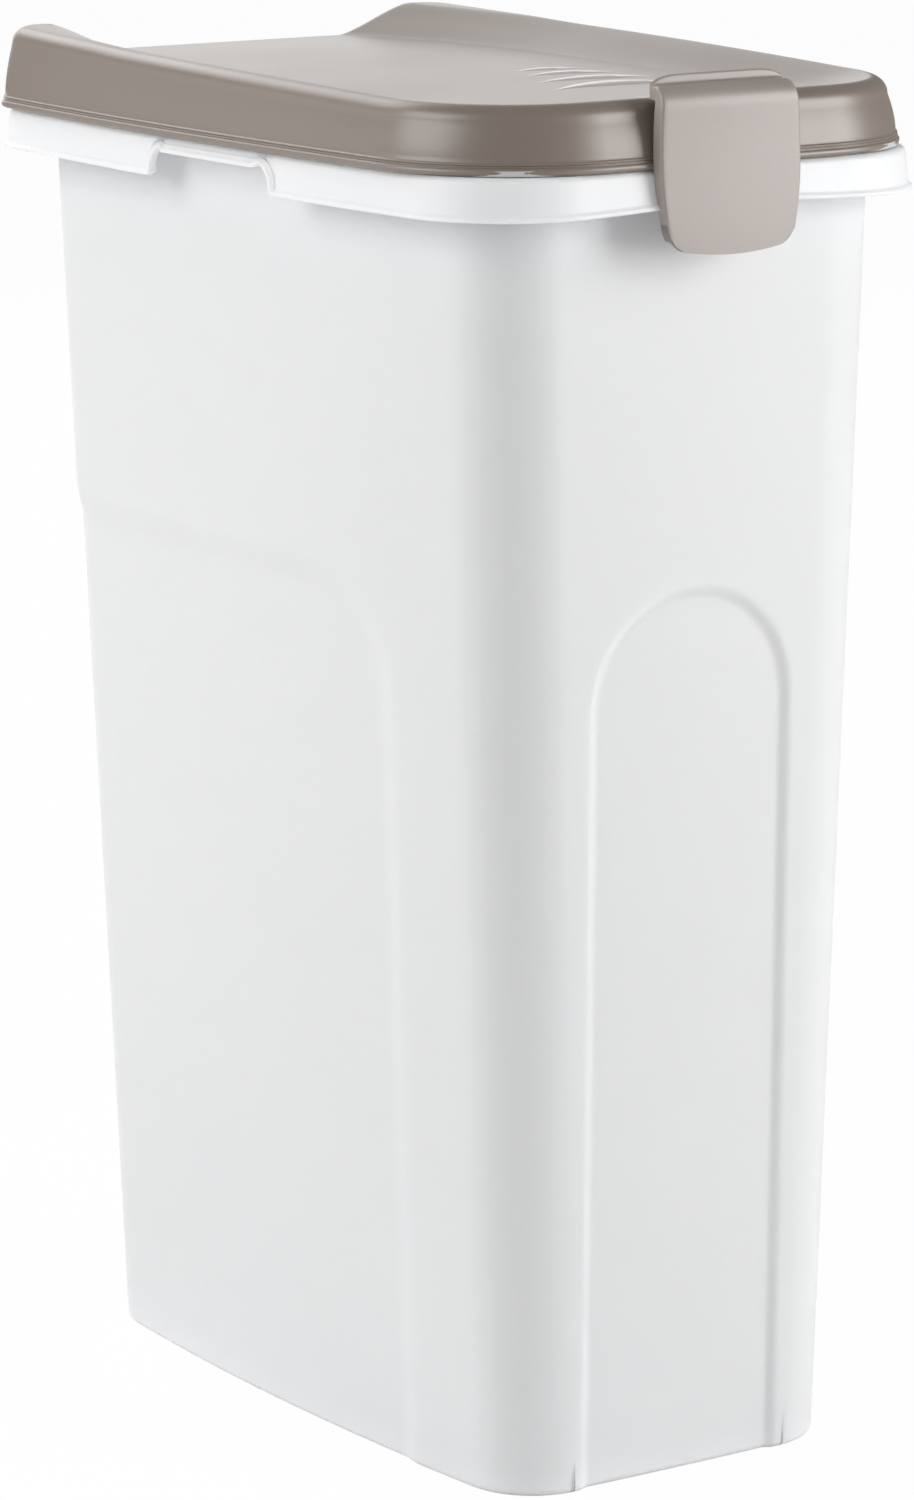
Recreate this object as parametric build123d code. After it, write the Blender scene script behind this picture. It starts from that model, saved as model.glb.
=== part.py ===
from build123d import *
import os

os.makedirs("parts", exist_ok=True)

# A tall pet food bin with a hinged lid and a front latch.
# The origin is the middle of the underside. The latch faces -Y and +Z is up.

# Tub, in plan: half sizes at the middle of each side
base_half_width = 78.0
base_half_length = 142.5
base_front_radius = 28.0
base_back_radius = 27.0
mouth_half_width = 92.0
mouth_half_length = 150.5
mouth_front_radius = 30.0
mouth_back_radius = 16.0
side_bow = 7.5
end_bow = 1.5
mouth_z = 468.8
wall = 2.4
floor_thickness = 3.0

# Shallow panels pressed into the sides and the front of the tub
panel_depth = 1.8
front_panel_half_width = 41.0
front_panel_top = 320.5
side_panel_front_y = -80.0
side_panel_top = 321.0
side_panel_radius = 42.0

# Rim round the mouth: a ledge, a skirt that hangs from it and a bead along the skirt's edge
rim_half_width = 106.6
rim_half_length = 165.2
rim_front_radius = 44.0
rim_back_radius = 18.0
rim_bottom_z = 454.0
rim_flare = 1.0
rim_edge_radius = 3.5
skirt_thickness = 2.2
ledge_thickness = 2.4
bead_out = 1.3
bead_height = 1.8

# Hand grips cut into the skirt on both sides
grip_y_front = -41.0
grip_y_back = 38.0
grip_top = 464.5
grip_radius = 8.0
grip_border = 1.8

# Hinge at the back: pins carried by lugs on the rim, and lid hooks that turn on them
hinge_y = 175.0
hinge_z = 462.0
hinge_centre_x = 52.0
hinge_pin_radius = 3.0
hinge_clearance = 0.06
hook_radius = 5.6
hook_half_width = 13.0
lug_gap = 0.4
lug_thickness = 4.0
lug_reach = 4.5
lug_drop = 4.5
lug_chamfer = 3.0
lug_nose = 2.0

# Lid
lid_bottom_z = 469.2
lid_half_width = 108.2
lid_half_length = 163.0
lid_front_radius = 58.0
lid_back_radius = 19.0
lid_side_bow = 6.4
flange_thickness = 3.0
flange_bead = 1.2
lid_draft = 3.0
ridge_front_z = 492.5
ridge_back_z = 499.0
ridge_radius = 6.0
lid_wall = 2.2
lid_ridge_room = 2.0
lid_block_extra = 15.0
well_inset_top = 9.5
well_inset_bottom = 33.0
well_z = 486.5
well_corner_radius = 37.0
well_back_half_width = 56.0
well_back_flare = 88.0
spigot_inset = 0.9
spigot_thickness = 1.8
spigot_depth = 9.0

# Seal ring in a groove under the lid's flange
seal_width = 3.2
seal_height = 1.8
seal_inset = 6.5

# Latch: a plate over the lid's front edge, turning on a bar between two ears of the lid
latch_half_width = 29.5
latch_bottom_z = 439.5
latch_top_z = 497.5
latch_gap = 1.2
latch_plate = 2.4
latch_top_plate = 2.0
latch_cheek = 2.0
latch_cheek_depth = 4.6
latch_corner_radius = 9.0
latch_shoulder_radius = 8.0
latch_rear_reach = 11.8
latch_lip_height = 3.0
latch_lip_radius = 2.7
latch_lip_thickness = 2.0
latch_axis_back = 4.2
latch_axis_z = 493.6
latch_bar_radius = 1.2
latch_clearance = 0.06
latch_knuckle_radius = 2.3
latch_knuckle_half_width = 14.0
latch_ear_radius = 1.6
latch_ear_thickness = 2.6
latch_ear_gap = 0.4
latch_ear_foot_z = 486.0
latch_hook_half_width = 22.0
latch_hook_height = 5.0
latch_hook_gap = 0.6
latch_catch = 1.0
latch_seat_half_width = 31.0

# How far one shape is sunk into another where the two are joined
overlap = 1.0

# Room added to a cutting shape so that it passes right through
through = 60.0


def plan(half_width, half_length, front_radius, rear_radius, bow, front_bow):
    """Plan outline with four bowed sides and a radius at each corner, as a face at z = 0."""
    corner_x = half_width - bow
    corner_y = half_length - front_bow
    sides = [
        ThreePointArc((-corner_x, -corner_y), (0, -half_length), (corner_x, -corner_y)),
        ThreePointArc((corner_x, -corner_y), (half_width, 0), (corner_x, corner_y)),
        ThreePointArc((corner_x, corner_y), (0, half_length), (-corner_x, corner_y)),
        ThreePointArc((-corner_x, corner_y), (-half_width, 0), (-corner_x, -corner_y)),
    ]
    face = make_face(sides)
    front = face.vertices().sort_by(Axis.Y)[:2]
    face = fillet(front, front_radius)
    back = face.vertices().sort_by(Axis.Y)[-2:]
    return fillet(back, rear_radius)


def between(start, end, share):
    """Value that lies a share of the way from start to end."""
    return start + (end - start) * share


def tub_plan(z, inset):
    """Plan of the tapered tub wall at height z, moved inwards by inset."""
    share = z / mouth_z
    face = plan(
        between(base_half_width, mouth_half_width, share) - inset,
        between(base_half_length, mouth_half_length, share) - inset,
        between(base_front_radius, mouth_front_radius, share) - inset,
        between(base_back_radius, mouth_back_radius, share) - inset,
        side_bow,
        end_bow,
    )
    return Pos(0, 0, z) * face


def tub_block(low_z, high_z, inset):
    """Solid block with the tub's taper between two heights."""
    return loft([tub_plan(low_z, inset), tub_plan(high_z, inset)], ruled=True)


def rim_plan(z, inset):
    """Plan of the rim at height z, moved inwards by inset."""
    face = plan(
        rim_half_width - inset,
        rim_half_length - inset,
        rim_front_radius - inset,
        rim_back_radius - inset,
        side_bow,
        end_bow,
    )
    return Pos(0, 0, z) * face


def lid_plan(z, inset):
    """Plan of the lid at height z, moved inwards by inset."""
    face = plan(
        lid_half_width - inset,
        lid_half_length - inset,
        lid_front_radius - inset,
        lid_back_radius - inset,
        lid_side_bow,
        end_bow,
    )
    return Pos(0, 0, z) * face


def block_x(points, low_x, high_x):
    """Outline in Y and Z, given as points, drawn out along X."""
    face = Plane.YZ * make_face(Polyline(*points, close=True))
    return Pos(low_x, 0, 0) * extrude(face, amount=high_x - low_x)


def rod_x(y, z, radius, low_x, high_x):
    """Round rod along X."""
    length = high_x - low_x
    return Pos((low_x + high_x) / 2, y, z) * Rot(0, 90, 0) * Cylinder(radius, length)


def cuboid(low_x, high_x, low_y, high_y, low_z, high_z):
    """Box between two corners."""
    size = (high_x - low_x, high_y - low_y, high_z - low_z)
    centre = ((low_x + high_x) / 2, (low_y + high_y) / 2, (low_z + high_z) / 2)
    return Pos(*centre) * Box(*size)


def front_panel_prism(grow):
    """Arch-topped region of the front panel, drawn through the front wall."""
    half = front_panel_half_width + grow
    middle = front_panel_top - front_panel_half_width
    arch = Pos(0, middle) * Circle(half)
    legs = Pos(0, middle / 2 - through / 2) * Rectangle(2 * half, middle + through)
    face = Plane.XZ * (arch + legs)
    return extrude(face, amount=base_half_length + through) - cuboid(
        -half, half, -through, 0, -through, mouth_z
    )


def side_panel_prism(grow):
    """Region of the side panels, open to the back and the bottom, drawn through both sides."""
    low_y = side_panel_front_y - grow
    high_y = mouth_half_length + through
    high_z = side_panel_top + grow
    face = Pos((low_y + high_y) / 2, (high_z - through) / 2) * Rectangle(
        high_y - low_y, high_z + through
    )
    corner = face.vertices().sort_by(Axis.Y)[-2:].sort_by(Axis.X)[0]
    face = Plane.YZ * fillet(corner, side_panel_radius)
    reach = mouth_half_width + through
    both = extrude(face, amount=reach, both=True)
    middle = cuboid(-base_half_width / 2, base_half_width / 2, -through, high_y, -through, mouth_z)
    return both - middle


def pressed(low_z, high_z, inset, grow):
    """Tapered block whose front and side panels stand further in than the rest."""
    block = tub_block(low_z, high_z, inset)
    deep = tub_block(low_z, high_z, inset + panel_depth)
    regions = front_panel_prism(grow) + side_panel_prism(grow)
    return (block - regions) + (deep & regions)


def rim_ring():
    """Ledge, skirt and edge bead round the mouth."""
    skirt_top = rim_plan(mouth_z, bead_out + rim_flare)
    skirt_bottom = rim_plan(rim_bottom_z, bead_out)
    skirt = loft([skirt_bottom, skirt_top], ruled=True)
    top_edges = skirt.faces().sort_by(Axis.Z)[-1].edges()
    skirt = fillet(top_edges, rim_edge_radius)
    hollow_inset = bead_out + skirt_thickness
    hollow = loft(
        [
            rim_plan(rim_bottom_z - overlap, hollow_inset),
            rim_plan(mouth_z - ledge_thickness, hollow_inset + rim_flare),
        ],
        ruled=True,
    )
    bead = extrude(rim_plan(rim_bottom_z, 0), amount=bead_height)
    latch_seat = cuboid(
        -latch_seat_half_width,
        latch_seat_half_width,
        -rim_half_length - overlap,
        -rim_half_length / 2,
        rim_bottom_z - overlap,
        rim_bottom_z + bead_height,
    )
    return (skirt + (bead - latch_seat)) - hollow


def grip_window(side, grow):
    """Window for the fingers in one side of the skirt, widened by grow."""
    low_y = grip_y_front - grow
    high_y = grip_y_back + grow
    high_z = grip_top + grow
    low_z = rim_bottom_z - through / 2
    face = Pos((low_y + high_y) / 2, (high_z + low_z) / 2) * Rectangle(
        high_y - low_y, high_z - low_z
    )
    top_corners = face.vertices().sort_by(Axis.Y)[-2:]
    face = Plane.YZ * fillet(top_corners, grip_radius + grow)
    outward = extrude(face, amount=side * through)
    return Pos(side * (mouth_half_width + wall), 0, 0) * outward


def grip_frame(side):
    """Proud border round one grip window."""
    band = loft([rim_plan(rim_bottom_z, 0), rim_plan(mouth_z, rim_flare)], ruled=True)
    core = loft(
        [rim_plan(rim_bottom_z, skirt_thickness), rim_plan(mouth_z, skirt_thickness)],
        ruled=True,
    )
    border = grip_window(side, grip_border) - grip_window(side, 0)
    reach = rim_half_width + through
    slab = cuboid(-reach, reach, -through, through, rim_bottom_z, mouth_z)
    return (band - core) & border & slab


def hinge_lugs():
    """Two pairs of lugs behind the rim, each pair with a pin between."""
    inner_y = rim_half_length - skirt_thickness
    outer_y = hinge_y + lug_reach
    low_z = rim_bottom_z + bead_height
    high_z = mouth_z - lug_drop
    outline = [
        (inner_y, high_z),
        (inner_y, low_z),
        (outer_y - lug_chamfer, low_z),
        (outer_y, hinge_z - lug_nose),
        (outer_y, hinge_z + lug_reach - lug_nose),
        (outer_y - lug_chamfer, high_z),
    ]
    start = hook_half_width + lug_gap
    lugs = []
    for centre in (-hinge_centre_x, hinge_centre_x):
        lugs.append(block_x(outline, centre - start - lug_thickness, centre - start))
        lugs.append(block_x(outline, centre + start, centre + start + lug_thickness))
        pin_reach = start + overlap
        lugs.append(
            rod_x(hinge_y, hinge_z, hinge_pin_radius, centre - pin_reach, centre + pin_reach)
        )
    return lugs


def make_bin_body():
    """Tub, rim, grips and hinge pins, moulded in one."""
    shell = pressed(0, mouth_z, 0, 0)
    rim = rim_ring()
    cavity = pressed(floor_thickness, mouth_z + overlap, wall, wall / 2)
    outside = shell + rim
    for side in (-1, 1):
        outside = outside - grip_window(side, 0)
        outside = outside + grip_frame(side)
    body = outside - cavity
    for lug in hinge_lugs():
        body = body + lug
    return body


def tilted_top(height_drop, front_z, back_z):
    """Everything above a plane that rises from front_z at the lid's front to back_z behind."""
    far = lid_half_length
    slope = (back_z - front_z) / (2 * far)
    reach = far + through
    low = front_z - slope * through - height_drop
    high = back_z + slope * through - height_drop
    outline = [(-reach, low), (reach, high), (reach, high + through), (-reach, low + through)]
    return block_x(outline, -2 * lid_half_width, 2 * lid_half_width)


def well_outline(front_y, half_width, corner_radius, back_half_width):
    """Plan of the lid's well: round at the front corners and running out over the back edge."""
    back_y = lid_half_length + through
    bend_y = lid_half_length - through
    points = [
        (-half_width, front_y),
        (half_width, front_y),
        (half_width, bend_y),
        (back_half_width, lid_half_length),
        (back_half_width, back_y),
        (-back_half_width, back_y),
        (-back_half_width, lid_half_length),
        (-half_width, bend_y),
    ]
    face = make_face(Polyline(*points, close=True))
    corners = face.vertices().sort_by(Axis.Y)[:2]
    return fillet(corners, corner_radius)


def lid_well(grow):
    """Sunken middle of the lid, with sloping sides, made larger by grow all round."""
    low_half = lid_half_width - well_inset_bottom + grow
    high_half = lid_half_width - well_inset_top + grow
    low_front = -(lid_half_length - well_inset_bottom) - grow
    high_front = -(lid_half_length - well_inset_top) - grow
    low_z = well_z - grow
    high_z = ridge_back_z + overlap
    rise = high_z - low_z
    slope_rise = ridge_front_z - low_z
    spread = rise / slope_rise
    low = well_outline(low_front, low_half, well_corner_radius, well_back_half_width + grow)
    high = well_outline(
        between(low_front, high_front, spread),
        between(low_half, high_half, spread),
        lid_front_radius - well_inset_top,
        between(well_back_half_width, well_back_flare, spread) + grow,
    )
    return loft([Pos(0, 0, low_z) * low, Pos(0, 0, high_z) * high], ruled=True)


def make_lid():
    """Lid with drafted walls, sunken well, flange, spigot, hinge hooks and latch bar."""
    high_z = ridge_back_z + lid_block_extra
    full_rise = high_z - lid_bottom_z
    ridge_rise = ridge_front_z - lid_bottom_z
    top_inset = flange_bead + lid_draft * full_rise / ridge_rise
    block = loft([lid_plan(lid_bottom_z, flange_bead), lid_plan(high_z, top_inset)], ruled=True)
    block = block - tilted_top(0, ridge_front_z, ridge_back_z)
    ridge_edges = block.faces().sort_by(Axis.Z)[-1].edges()
    block = fillet(ridge_edges, ridge_radius)
    bead = extrude(lid_plan(lid_bottom_z, 0), amount=flange_bead)
    flange_z = lid_bottom_z + flange_thickness
    inner = loft(
        [
            lid_plan(flange_z, flange_bead + lid_wall + lid_ridge_room),
            lid_plan(high_z, top_inset + lid_wall + lid_ridge_room),
        ],
        ruled=True,
    )
    inner = inner - tilted_top(lid_wall, ridge_front_z, ridge_back_z)
    inner = inner - lid_well(lid_wall)
    spigot_outer = wall + spigot_inset
    spigot = tub_block(lid_bottom_z - spigot_depth, mouth_z, spigot_outer)
    spigot_neck = extrude(tub_plan(mouth_z, spigot_outer), amount=flange_thickness)
    spigot_inner = spigot_outer + spigot_thickness
    bore = tub_block(lid_bottom_z - spigot_depth - overlap, mouth_z, spigot_inner)
    bore_neck = extrude(tub_plan(mouth_z, spigot_inner), amount=2 * flange_thickness)
    lid = block + bead + spigot + spigot_neck
    lid = lid - lid_well(0) - inner - bore - bore_neck - seal_ring()
    for part in lid_hooks():
        lid = lid + part
    for part in latch_ears():
        lid = lid + part
    return lid


def seal_ring():
    """Ring of rectangular section round the spigot."""
    outer = tub_plan(mouth_z, -seal_inset - seal_width)
    inner = tub_plan(mouth_z, -seal_inset)
    ring = extrude(outer, amount=seal_height) - extrude(inner, amount=seal_height)
    return Pos(0, 0, lid_bottom_z - mouth_z) * ring


def lid_hooks():
    """Two hooks that reach down from the lid's flange and turn on the hinge pins."""
    bore_radius = hinge_pin_radius + hinge_clearance
    arm_low_y = hinge_y - hook_radius
    arm_high_y = hinge_y + hook_radius
    arm_top = lid_bottom_z + flange_thickness
    hooks = []
    for centre in (-hinge_centre_x, hinge_centre_x):
        low_x = centre - hook_half_width
        high_x = centre + hook_half_width
        ring = rod_x(hinge_y, hinge_z, hook_radius, low_x, high_x)
        arm = cuboid(low_x, high_x, arm_low_y, arm_high_y, hinge_z, arm_top)
        tie_low_y = lid_half_length - lid_wall
        tie = cuboid(low_x, high_x, tie_low_y, arm_high_y, lid_bottom_z, arm_top)
        hook = ring + arm + tie
        hooks.append(hook - rod_x(hinge_y, hinge_z, bore_radius, low_x, high_x))
    return hooks


def latch_axis_y():
    """Y of the latch's turning axis."""
    return -(lid_half_length - latch_axis_back)


def latch_ears():
    """Two ears on the lid's front ridge with the bar that the latch turns on."""
    axis_y = latch_axis_y()
    low_y = axis_y - latch_ear_radius
    high_y = axis_y + latch_ear_radius
    start = latch_knuckle_half_width + latch_ear_gap
    end = start + latch_ear_thickness
    bar_reach = start + overlap
    parts = [rod_x(axis_y, latch_axis_z, latch_bar_radius, -bar_reach, bar_reach)]
    for low_x, high_x in ((-end, -start), (start, end)):
        parts.append(rod_x(axis_y, latch_axis_z, latch_ear_radius, low_x, high_x))
        parts.append(cuboid(low_x, high_x, low_y, high_y, latch_ear_foot_z, latch_axis_z))
    return parts


def latch_face_y():
    """Y of the latch's outer face."""
    return -(rim_half_length + latch_gap + latch_plate)


def latch_profile(front, top):
    """Side outline of the latch, its face moved back by front and its top down by top."""
    face_y = latch_face_y() + front
    top_z = latch_top_z - top
    radius = latch_shoulder_radius - front
    rear_y = latch_face_y() + latch_rear_reach
    back_y = latch_face_y() + latch_cheek_depth
    top_inner = latch_top_z - latch_cheek_depth
    corner = latch_shoulder_radius - latch_cheek_depth
    foot = Polyline((face_y, latch_bottom_z), (face_y, top_z - radius))
    shoulder = RadiusArc((face_y, top_z - radius), (face_y + radius, top_z), radius)
    rest = Polyline(
        (face_y + radius, top_z),
        (rear_y, top_z),
        (rear_y, top_inner),
        (back_y + corner, top_inner),
        (back_y, top_inner - corner),
        (back_y, latch_bottom_z),
        (face_y, latch_bottom_z),
    )
    return Plane.YZ * make_face([foot, shoulder, rest])


def make_latch():
    """Latch plate with side cheeks, rear lip, knuckle and hook."""
    half = latch_half_width
    inner_half = half - latch_cheek
    shell = Pos(-half, 0, 0) * extrude(latch_profile(0, 0), amount=2 * half)
    hollow = Pos(-inner_half, 0, 0) * extrude(
        latch_profile(latch_plate, latch_top_plate), amount=2 * inner_half
    )
    plate = shell - hollow
    height = latch_top_z - latch_bottom_z + through
    mask = Pos(0, latch_bottom_z + height / 2) * Rectangle(2 * half, height)
    mask = fillet(mask.vertices().sort_by(Axis.Y)[:2], latch_corner_radius)
    plate = plate & extrude(Plane.XZ * mask, amount=2 * lid_half_length)
    rear_y = latch_face_y() + latch_rear_reach
    under_z = latch_top_z - latch_top_plate
    lip = cuboid(
        -half,
        half,
        rear_y - latch_lip_thickness,
        rear_y,
        under_z,
        latch_top_z + latch_lip_height,
    )
    lip = fillet(lip.edges().filter_by(Axis.Y).sort_by(Axis.Z)[-2:], latch_lip_radius)
    axis_y = latch_axis_y()
    width = latch_knuckle_half_width
    knuckle = rod_x(axis_y, latch_axis_z, latch_knuckle_radius, -width, width)
    web = cuboid(
        -width,
        width,
        axis_y - latch_knuckle_radius,
        rear_y,
        latch_axis_z,
        under_z + overlap,
    )
    bore = rod_x(axis_y, latch_axis_z, latch_bar_radius + latch_clearance, -width, width)
    hook_top = rim_bottom_z - latch_hook_gap
    hook = cuboid(
        -latch_hook_half_width,
        latch_hook_half_width,
        latch_face_y() + latch_plate / 2,
        -(rim_half_length - bead_out - latch_catch),
        hook_top - latch_hook_height,
        hook_top,
    )
    return plate + lip + knuckle + web + hook - bore


pieces = {
    "bin_body": make_bin_body(),
    "lid": make_lid(),
    "lid_seal": seal_ring(),
    "latch_clip": make_latch(),
}
for name, piece in pieces.items():
    solids = piece.solids()
    print(name, len(solids), round(solids[0].volume))
    export_step(solids[0], f"parts/{name}.step")
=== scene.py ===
import math
import bmesh
import bpy
import numpy as np
from mathutils import Matrix, Vector


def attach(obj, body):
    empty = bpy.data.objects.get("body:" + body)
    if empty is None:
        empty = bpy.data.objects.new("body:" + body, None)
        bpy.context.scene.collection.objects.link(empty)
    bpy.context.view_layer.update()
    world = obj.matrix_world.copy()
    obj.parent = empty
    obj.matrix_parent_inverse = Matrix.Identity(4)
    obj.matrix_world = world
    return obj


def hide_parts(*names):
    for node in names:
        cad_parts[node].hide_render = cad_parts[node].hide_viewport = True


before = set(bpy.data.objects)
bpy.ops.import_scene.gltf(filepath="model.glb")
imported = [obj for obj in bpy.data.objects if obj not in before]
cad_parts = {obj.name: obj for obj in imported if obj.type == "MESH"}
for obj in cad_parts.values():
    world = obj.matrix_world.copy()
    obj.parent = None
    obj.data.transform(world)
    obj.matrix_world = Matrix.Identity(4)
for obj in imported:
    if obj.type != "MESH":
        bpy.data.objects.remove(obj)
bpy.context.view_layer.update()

mm = 0.001
mergeGap = 2e-5        # points closer than this, in metres, become one
quarter = math.pi / 2

# Plans that the pieces share, in millimetres: half sizes to the middle of each side, corner radii in
# front and at the back, and how far the middle of a long side or an end bows out
basePlan = dict(halfWidth=78.0, halfLength=142.5, front=28.0, back=27.0, sideBow=7.5, endBow=1.5)
mouthPlan = dict(halfWidth=92.0, halfLength=150.5, front=30.0, back=16.0, sideBow=7.5, endBow=1.5)
rimPlan = dict(halfWidth=106.6, halfLength=165.2, front=44.0, back=18.0, sideBow=7.5, endBow=1.5)
lidPlan = dict(halfWidth=108.2, halfLength=163.0, front=58.0, back=19.0, sideBow=6.4, endBow=1.5)
mouthZ = 468.8        # height of the mouth

# Points round every plan: the places, from a side's middle, where their spacing changes, and the
# number of steps in each run
columns = dict(
    frontKnots=[38, 46], frontCounts=[30, 7, 8],
    sideKnots=[-84, -34, 28, 44], sideCounts=[14, 44, 18, 26, 22],
    cornerCount=18, backCount=34)


def stretch(start, knots, end, counts):
    # Even steps from the start over each knot to the end.
    stops = [start, *knots, end]
    runs = [np.linspace(a, b, n, endpoint=False) for a, b, n in zip(stops, stops[1:], counts)]
    return np.concatenate(runs + [[end]])


def bowRadius(reach, bow):
    # Radius of the arc that falls by the bow at a reach from its middle.
    return (reach ** 2 + bow ** 2) / (2 * bow)


def cornerCentre(sideC, sideR, endC, endR, r):
    # Centre of a circle of radius r that touches a long side's and an end's circle from inside.
    gap = np.linalg.norm(endC - sideC)
    u = (endC - sideC) / gap
    v = np.array([-u[1], u[0]])
    along = (gap ** 2 + (sideR - r) ** 2 - (endR - r) ** 2) / (2 * gap)
    off = math.sqrt((sideR - r) ** 2 - along ** 2)
    return max((sideC + u * along + v * s * off for s in (-1, 1)), key=lambda p: p[0])


def touch(centre, radius, corner):
    # Point where a circle meets the corner's circle inside it.
    away = corner - centre
    return centre + away / np.linalg.norm(away) * radius


def ring(plan):
    # Points and outward normals round a plan, from the middle of the front. Each side is an arc through
    # its middle and its ends, a corner's arc touches two of them, and the left half mirrors the right.
    a, b = plan["halfWidth"], plan["halfLength"]
    sideR = bowRadius(b - plan["endBow"], plan["sideBow"])
    endR = bowRadius(a - plan["sideBow"], plan["endBow"])
    sideC, frontC, backC = np.array([[a - sideR, 0.0], [0.0, endR - b], [0.0, b - endR]])
    frontCorner = cornerCentre(sideC, sideR, frontC, endR, plan["front"])
    backCorner = cornerCentre(sideC, sideR, backC, endR, plan["back"])
    frontTouch, backTouch = touch(frontC, endR, frontCorner), touch(backC, endR, backCorner)
    sideFront, sideBack = touch(sideC, sideR, frontCorner), touch(sideC, sideR, backCorner)

    def corner(centre, r, start, end):
        first, last = (math.atan2(p[1], p[0]) for p in (start - centre, end - centre))
        turn = np.linspace(first, last, columns["cornerCount"], endpoint=False)
        normal = np.stack([np.cos(turn), np.sin(turn)], 1)
        return centre + r * normal, normal

    x = stretch(0, columns["frontKnots"], frontTouch[0], columns["frontCounts"])
    front = np.stack([x, frontC[1] - np.sqrt(endR ** 2 - x ** 2)], 1)[:-1]
    y = stretch(sideFront[1], columns["sideKnots"], sideBack[1], columns["sideCounts"])
    side = np.stack([sideC[0] + np.sqrt(sideR ** 2 - y ** 2), y], 1)[:-1]
    x = np.linspace(backTouch[0], 0, columns["backCount"] + 1)
    back = np.stack([x, backC[1] + np.sqrt(endR ** 2 - x ** 2)], 1)
    runs = [(front, (front - frontC) / endR), corner(frontCorner, plan["front"], frontTouch, sideFront),
            (side, (side - sideC) / sideR), corner(backCorner, plan["back"], sideBack, backTouch),
            (back, (back - backC) / endR)]
    points, normals = (np.concatenate(group) for group in zip(*runs))
    flip = np.array([-1.0, 1.0])
    return tuple(np.concatenate([half, half[-2:0:-1] * flip]) for half in (points, normals))


def smooth(t):
    # Soft step from 0 to 1.
    t = np.clip(t, 0, 1)
    return t * t * (3 - 2 * t)


def blend(start, end, share):
    # Straight change from start to end.
    return start * (1 - share) + end * share


def level(flat, z):
    # Plan points at a height, which may differ from point to point.
    return np.concatenate([flat, np.broadcast_to(z, flat.shape[:1])[:, None]], 1)


def spineOf(plan, reach):
    # For each point of a plan, the nearest point on a straight line along the piece's middle.
    return np.stack([0 * plan[:, 0], np.clip(plan[:, 1], -reach, reach)], 1)


def makeMesh(name, grids, sharp=None):
    # Object from grids of points in millimetres. Each row is a closed loop, and each grid comes with
    # whether its last row joins its first. Edges past the sharp angle, in degrees, stay hard.
    verts, faces, start = [], [], 0
    for grid, rowsJoin in grids:
        rows, cols = grid.shape[:2]
        verts.append(grid.reshape(-1, 3) * mm)
        i = np.arange(rows if rowsJoin else rows - 1)[:, None]
        j = np.arange(cols)[None, :]
        nextRow, nextCol = (i + 1) % rows, (j + 1) % cols
        quads = [i * cols + j, i * cols + nextCol, nextRow * cols + nextCol, nextRow * cols + j]
        faces.append(np.stack(quads, -1).reshape(-1, 4) + start)
        start += rows * cols
    mesh = bpy.data.meshes.new(name)
    mesh.from_pydata(np.concatenate(verts).tolist(), [], np.concatenate(faces).tolist())
    bm = bmesh.new()
    bm.from_mesh(mesh)
    bmesh.ops.remove_doubles(bm, verts=bm.verts, dist=mergeGap)
    holes = [e for e in bm.edges if e.is_boundary]
    if holes:
        bmesh.ops.holes_fill(bm, edges=holes, sides=0)
    bmesh.ops.recalc_face_normals(bm, faces=bm.faces)
    bm.to_mesh(mesh)
    bm.free()
    mesh.polygons.foreach_set("use_smooth", np.ones(len(mesh.polygons), bool))
    if sharp is not None:
        mesh.set_sharp_from_angle(angle=math.radians(sharp))
    obj = bpy.data.objects.new(name, mesh)
    bpy.context.scene.collection.objects.link(obj)
    return obj


# The tub, its rim and its grips. The pressed panels are an arch in front and a region on each side.
# The hem is the bead along the skirt's lower edge, as inset and height.
tub = dict(
    wall=2.4, floor=3.0, footRound=2.5, floorRound=5.0, mouthRound=1.2, spineReach=80.0,
    panelDepth=1.8, panelSoft=2.4, sideSoftness=2.6, archHalfWidth=41.0, archTop=320.5, archBehindY=-100.0,
    sideFrontY=-80.0, sideTop=321.0, sideRadius=42.0, sideFromX=55.0, plainBack=39.0, plainBackY=120.0,
    skirtBottom=454.0, skirtTop=468.8, skirtInset=3.5, flare=1.0, topRound=2.4, ledge=2.4, bead=1.3,
    beadHeight=1.9, latchLift=2.4, latchLiftWidth=45.0, latchLiftY=-140.0,
    hem=[(3.5, 0.5), (3.0, 0.1), (1.3, 0.0), (0.4, 0.05), (0.1, 0.3), (0.0, 0.8), (0.15, 1.3), (0.6, 1.7),
         (1.25, 2.1), (1.32, 2.6), (1.34, 3.0)],
    outerHeights=np.concatenate([np.linspace(4, 274, 26), np.linspace(276, 329, 46),
                                 np.linspace(334, 440, 12), np.linspace(445, 464.4, 5)]),
    innerHeights=np.concatenate([[460, 420, 370, 335], np.linspace(329, 276, 24), [240, 160, 80, 20, 9]]))
grip = dict(front=-41.0, back=38.0, top=463.0, upper=8.0, lower=2.6, zone=8.0, fromX=80.0)


def panelDistance(x, y, z):
    # Signed distance to the pressed panels, negative inside: an arch in front, and on the sides a
    # region with one round corner that runs out over the back corners.
    far = 99.0
    r, top = tub["archHalfWidth"], tub["archTop"]
    arch = np.where(z > top - r, np.hypot(x, z - top + r) - r, np.abs(x) - r)
    arch = np.where(y < tub["archBehindY"], arch, far)
    r, front, top = tub["sideRadius"], tub["sideFrontY"], tub["sideTop"]
    cornerY, cornerZ = front + r, top - r
    inCorner = (y < cornerY) & (z > cornerZ)
    side = np.where(inCorner, np.hypot(y - cornerY, z - cornerZ) - r, np.maximum(front - y, z - top))
    side = np.where(y > tub["plainBackY"], np.maximum(side, tub["plainBack"] - np.abs(x)), side)
    side = np.where((np.abs(x) < tub["sideFromX"]) & (y < 0), far, side)
    return np.minimum(arch, side / tub["sideSoftness"])


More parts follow.
